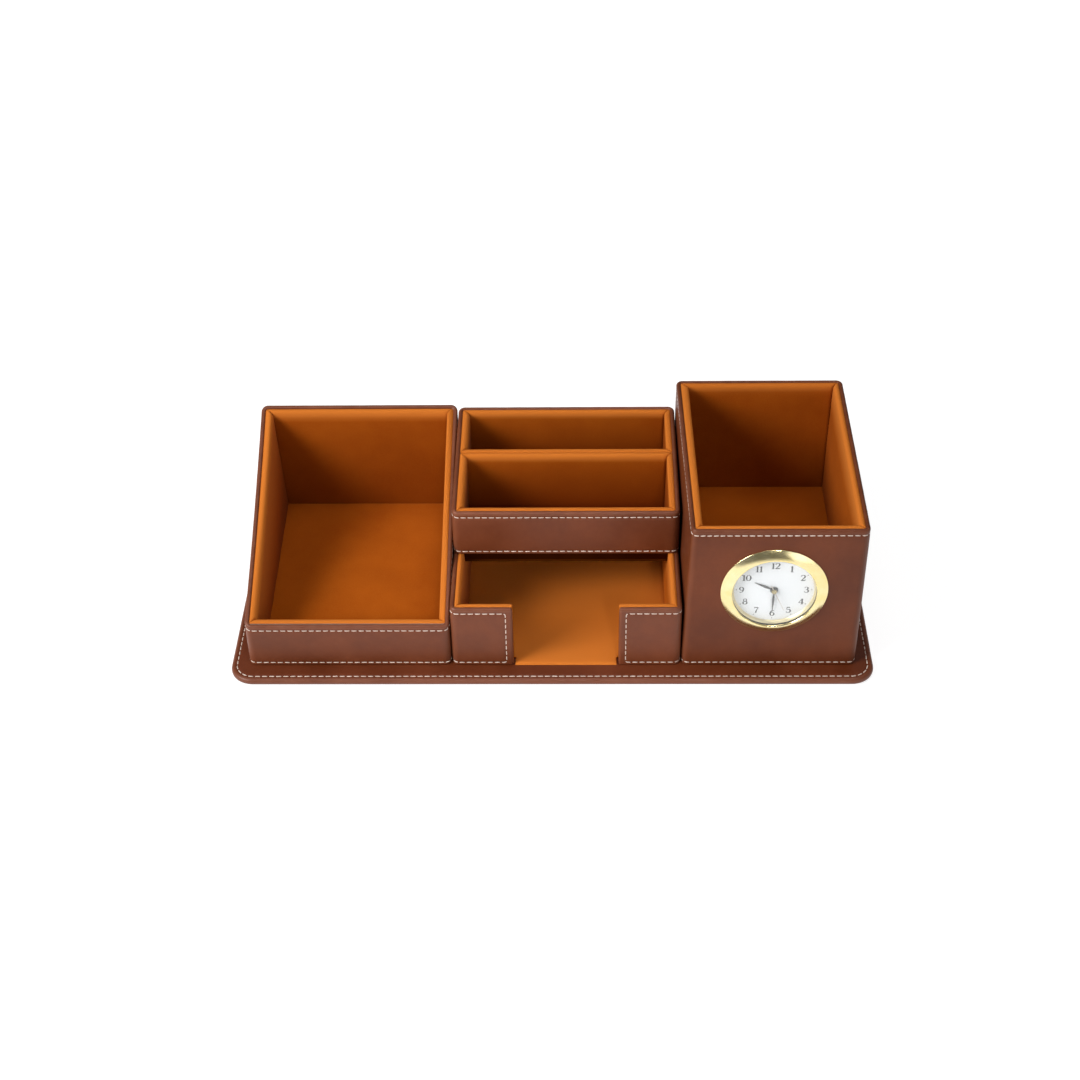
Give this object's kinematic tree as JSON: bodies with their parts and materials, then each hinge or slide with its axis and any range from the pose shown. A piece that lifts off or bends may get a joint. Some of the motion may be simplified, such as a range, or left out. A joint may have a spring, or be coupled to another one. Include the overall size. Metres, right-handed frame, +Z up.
{
  "type": "leather desk organizer with clock",
  "caption": "Stitched leather desk organizer: sloping note box, memo tray with a front notch, card box of two slots on its rim, and a tall pen box with a pull-out quartz clock.",
  "frame": {"origin": "centre of the base's underside, on the desk", "axes": "+Z up, +Y to the back, +X to the right seen from the front; the clock faces -Y"},
  "size_m": [0.31, 0.141, 0.087],
  "materials": {
    "leather_brown": "smooth pebbled brown leather, satin",
    "suede_tan": "brushed tan microsuede, matt",
    "greyboard": "dense grey board",
    "filler_card": "card",
    "backing_felt": "short dark brown felt",
    "polished_gold": "polished gold plate",
    "lens_glass": "clear mineral glass",
    "black_rubber": "soft rubber",
    "dial_white": "matt white dial",
    "black_plastic": "fine textured black plastic",
    "movement_plastic": "moulded movement housing",
    "hand_black": "gloss black lacquer",
    "hand_silver": "thin bright hand",
    "cap_gold": "satin gold cap",
    "gear_brass": "machined brass",
    "steel": "bright steel"
  },
  "bodies": {
    "organizer": {"base_underlay": "backing_felt", "base_filler_card": "filler_card", "base_board": "greyboard", "base_cover": "leather_brown", "note_box_boards": "greyboard", "note_box_cover": "leather_brown", "note_box_lining": "suede_tan", "note_box_floor_pad": "suede_tan", "memo_tray_boards": "greyboard", "memo_tray_cover": "leather_brown", "memo_tray_lining": "suede_tan", "memo_tray_floor_sheet": "suede_tan", "card_box_boards": "greyboard", "card_box_cover": "leather_brown", "card_box_shelf": "greyboard", "card_box_divider": "greyboard", "card_box_front_lining": "suede_tan", "card_box_front_floor_pad": "suede_tan", "card_box_rear_lining": "suede_tan", "card_box_rear_floor_pad": "suede_tan", "pen_box_boards": "greyboard", "pen_box_cover": "leather_brown", "pen_box_lining": "suede_tan", "pen_box_riser": "greyboard", "pen_box_floor_pad": "suede_tan"},
    "clock_insert": {"clock_bezel": "polished_gold", "clock_lens": "lens_glass", "lens_gasket": "black_rubber", "dial_ring": "polished_gold", "clock_dial": "dial_white", "clock_case": "black_plastic", "retaining_band": "black_rubber", "movement_module": "movement_plastic", "battery": "steel", "negative_contact": "gear_brass", "positive_contact": "gear_brass", "clock_back": "black_plastic", "back_screws": "steel"},
    "minute_hand_train": {"minute_hand": "hand_black", "cannon_pinion": "gear_brass"},
    "hour_hand_train": {"hour_hand": "hand_black", "hour_wheel": "gear_brass"},
    "second_hand_train": {"second_hand": "hand_silver", "hand_cap": "cap_gold", "second_arbor": "steel"},
    "minute_wheel": {"minute_wheel": "gear_brass"},
    "setting_knob": {"setting_stem": "steel", "setting_knob": "black_plastic"},
    "battery_cover": {"battery_cover": "black_plastic"}
  },
  "joints": [
    {"name": "clock_slide", "type": "slide", "parent": "organizer", "child": "clock_insert", "axis": [0, -1, 0], "range_m": [0, 0.025]},
    {"name": "minute_hand_spin", "type": "hinge", "parent": "clock_insert", "child": "minute_hand_train", "pos_m": [0.10425, -0.0602, 0.0511], "axis": [0, 1, 0], "continuous": true},
    {"name": "hour_hand_spin", "type": "hinge", "parent": "clock_insert", "child": "hour_hand_train", "pos_m": [0.10425, -0.0597, 0.0511], "axis": [0, 1, 0], "continuous": true},
    {"name": "second_hand_spin", "type": "hinge", "parent": "clock_insert", "child": "second_hand_train", "pos_m": [0.10425, -0.0607, 0.0511], "axis": [0, 1, 0], "continuous": true},
    {"name": "minute_wheel_spin", "type": "hinge", "parent": "clock_insert", "child": "minute_wheel", "pos_m": [0.09905, -0.058, 0.0481], "axis": [0, 1, 0], "continuous": true},
    {"name": "setting_knob_spin", "type": "hinge", "parent": "clock_insert", "child": "setting_knob", "pos_m": [0.09386, -0.049, 0.0451], "axis": [0, 1, 0], "continuous": true},
    {"name": "battery_cover_turn", "type": "hinge", "parent": "clock_insert", "child": "battery_cover", "pos_m": [0.113, -0.0506, 0.05615], "axis": [0, 1, 0], "range_deg": [0, 60]}
  ],
  "couplings": [
    {"joint": "hour_hand_spin", "follows": "minute_hand_spin", "ratio": 0.083333},
    {"joint": "second_hand_spin", "follows": "minute_hand_spin", "ratio": 60},
    {"joint": "minute_wheel_spin", "follows": "minute_hand_spin", "ratio": -0.33333},
    {"joint": "setting_knob_spin", "follows": "minute_hand_spin", "ratio": 1}
  ]
}
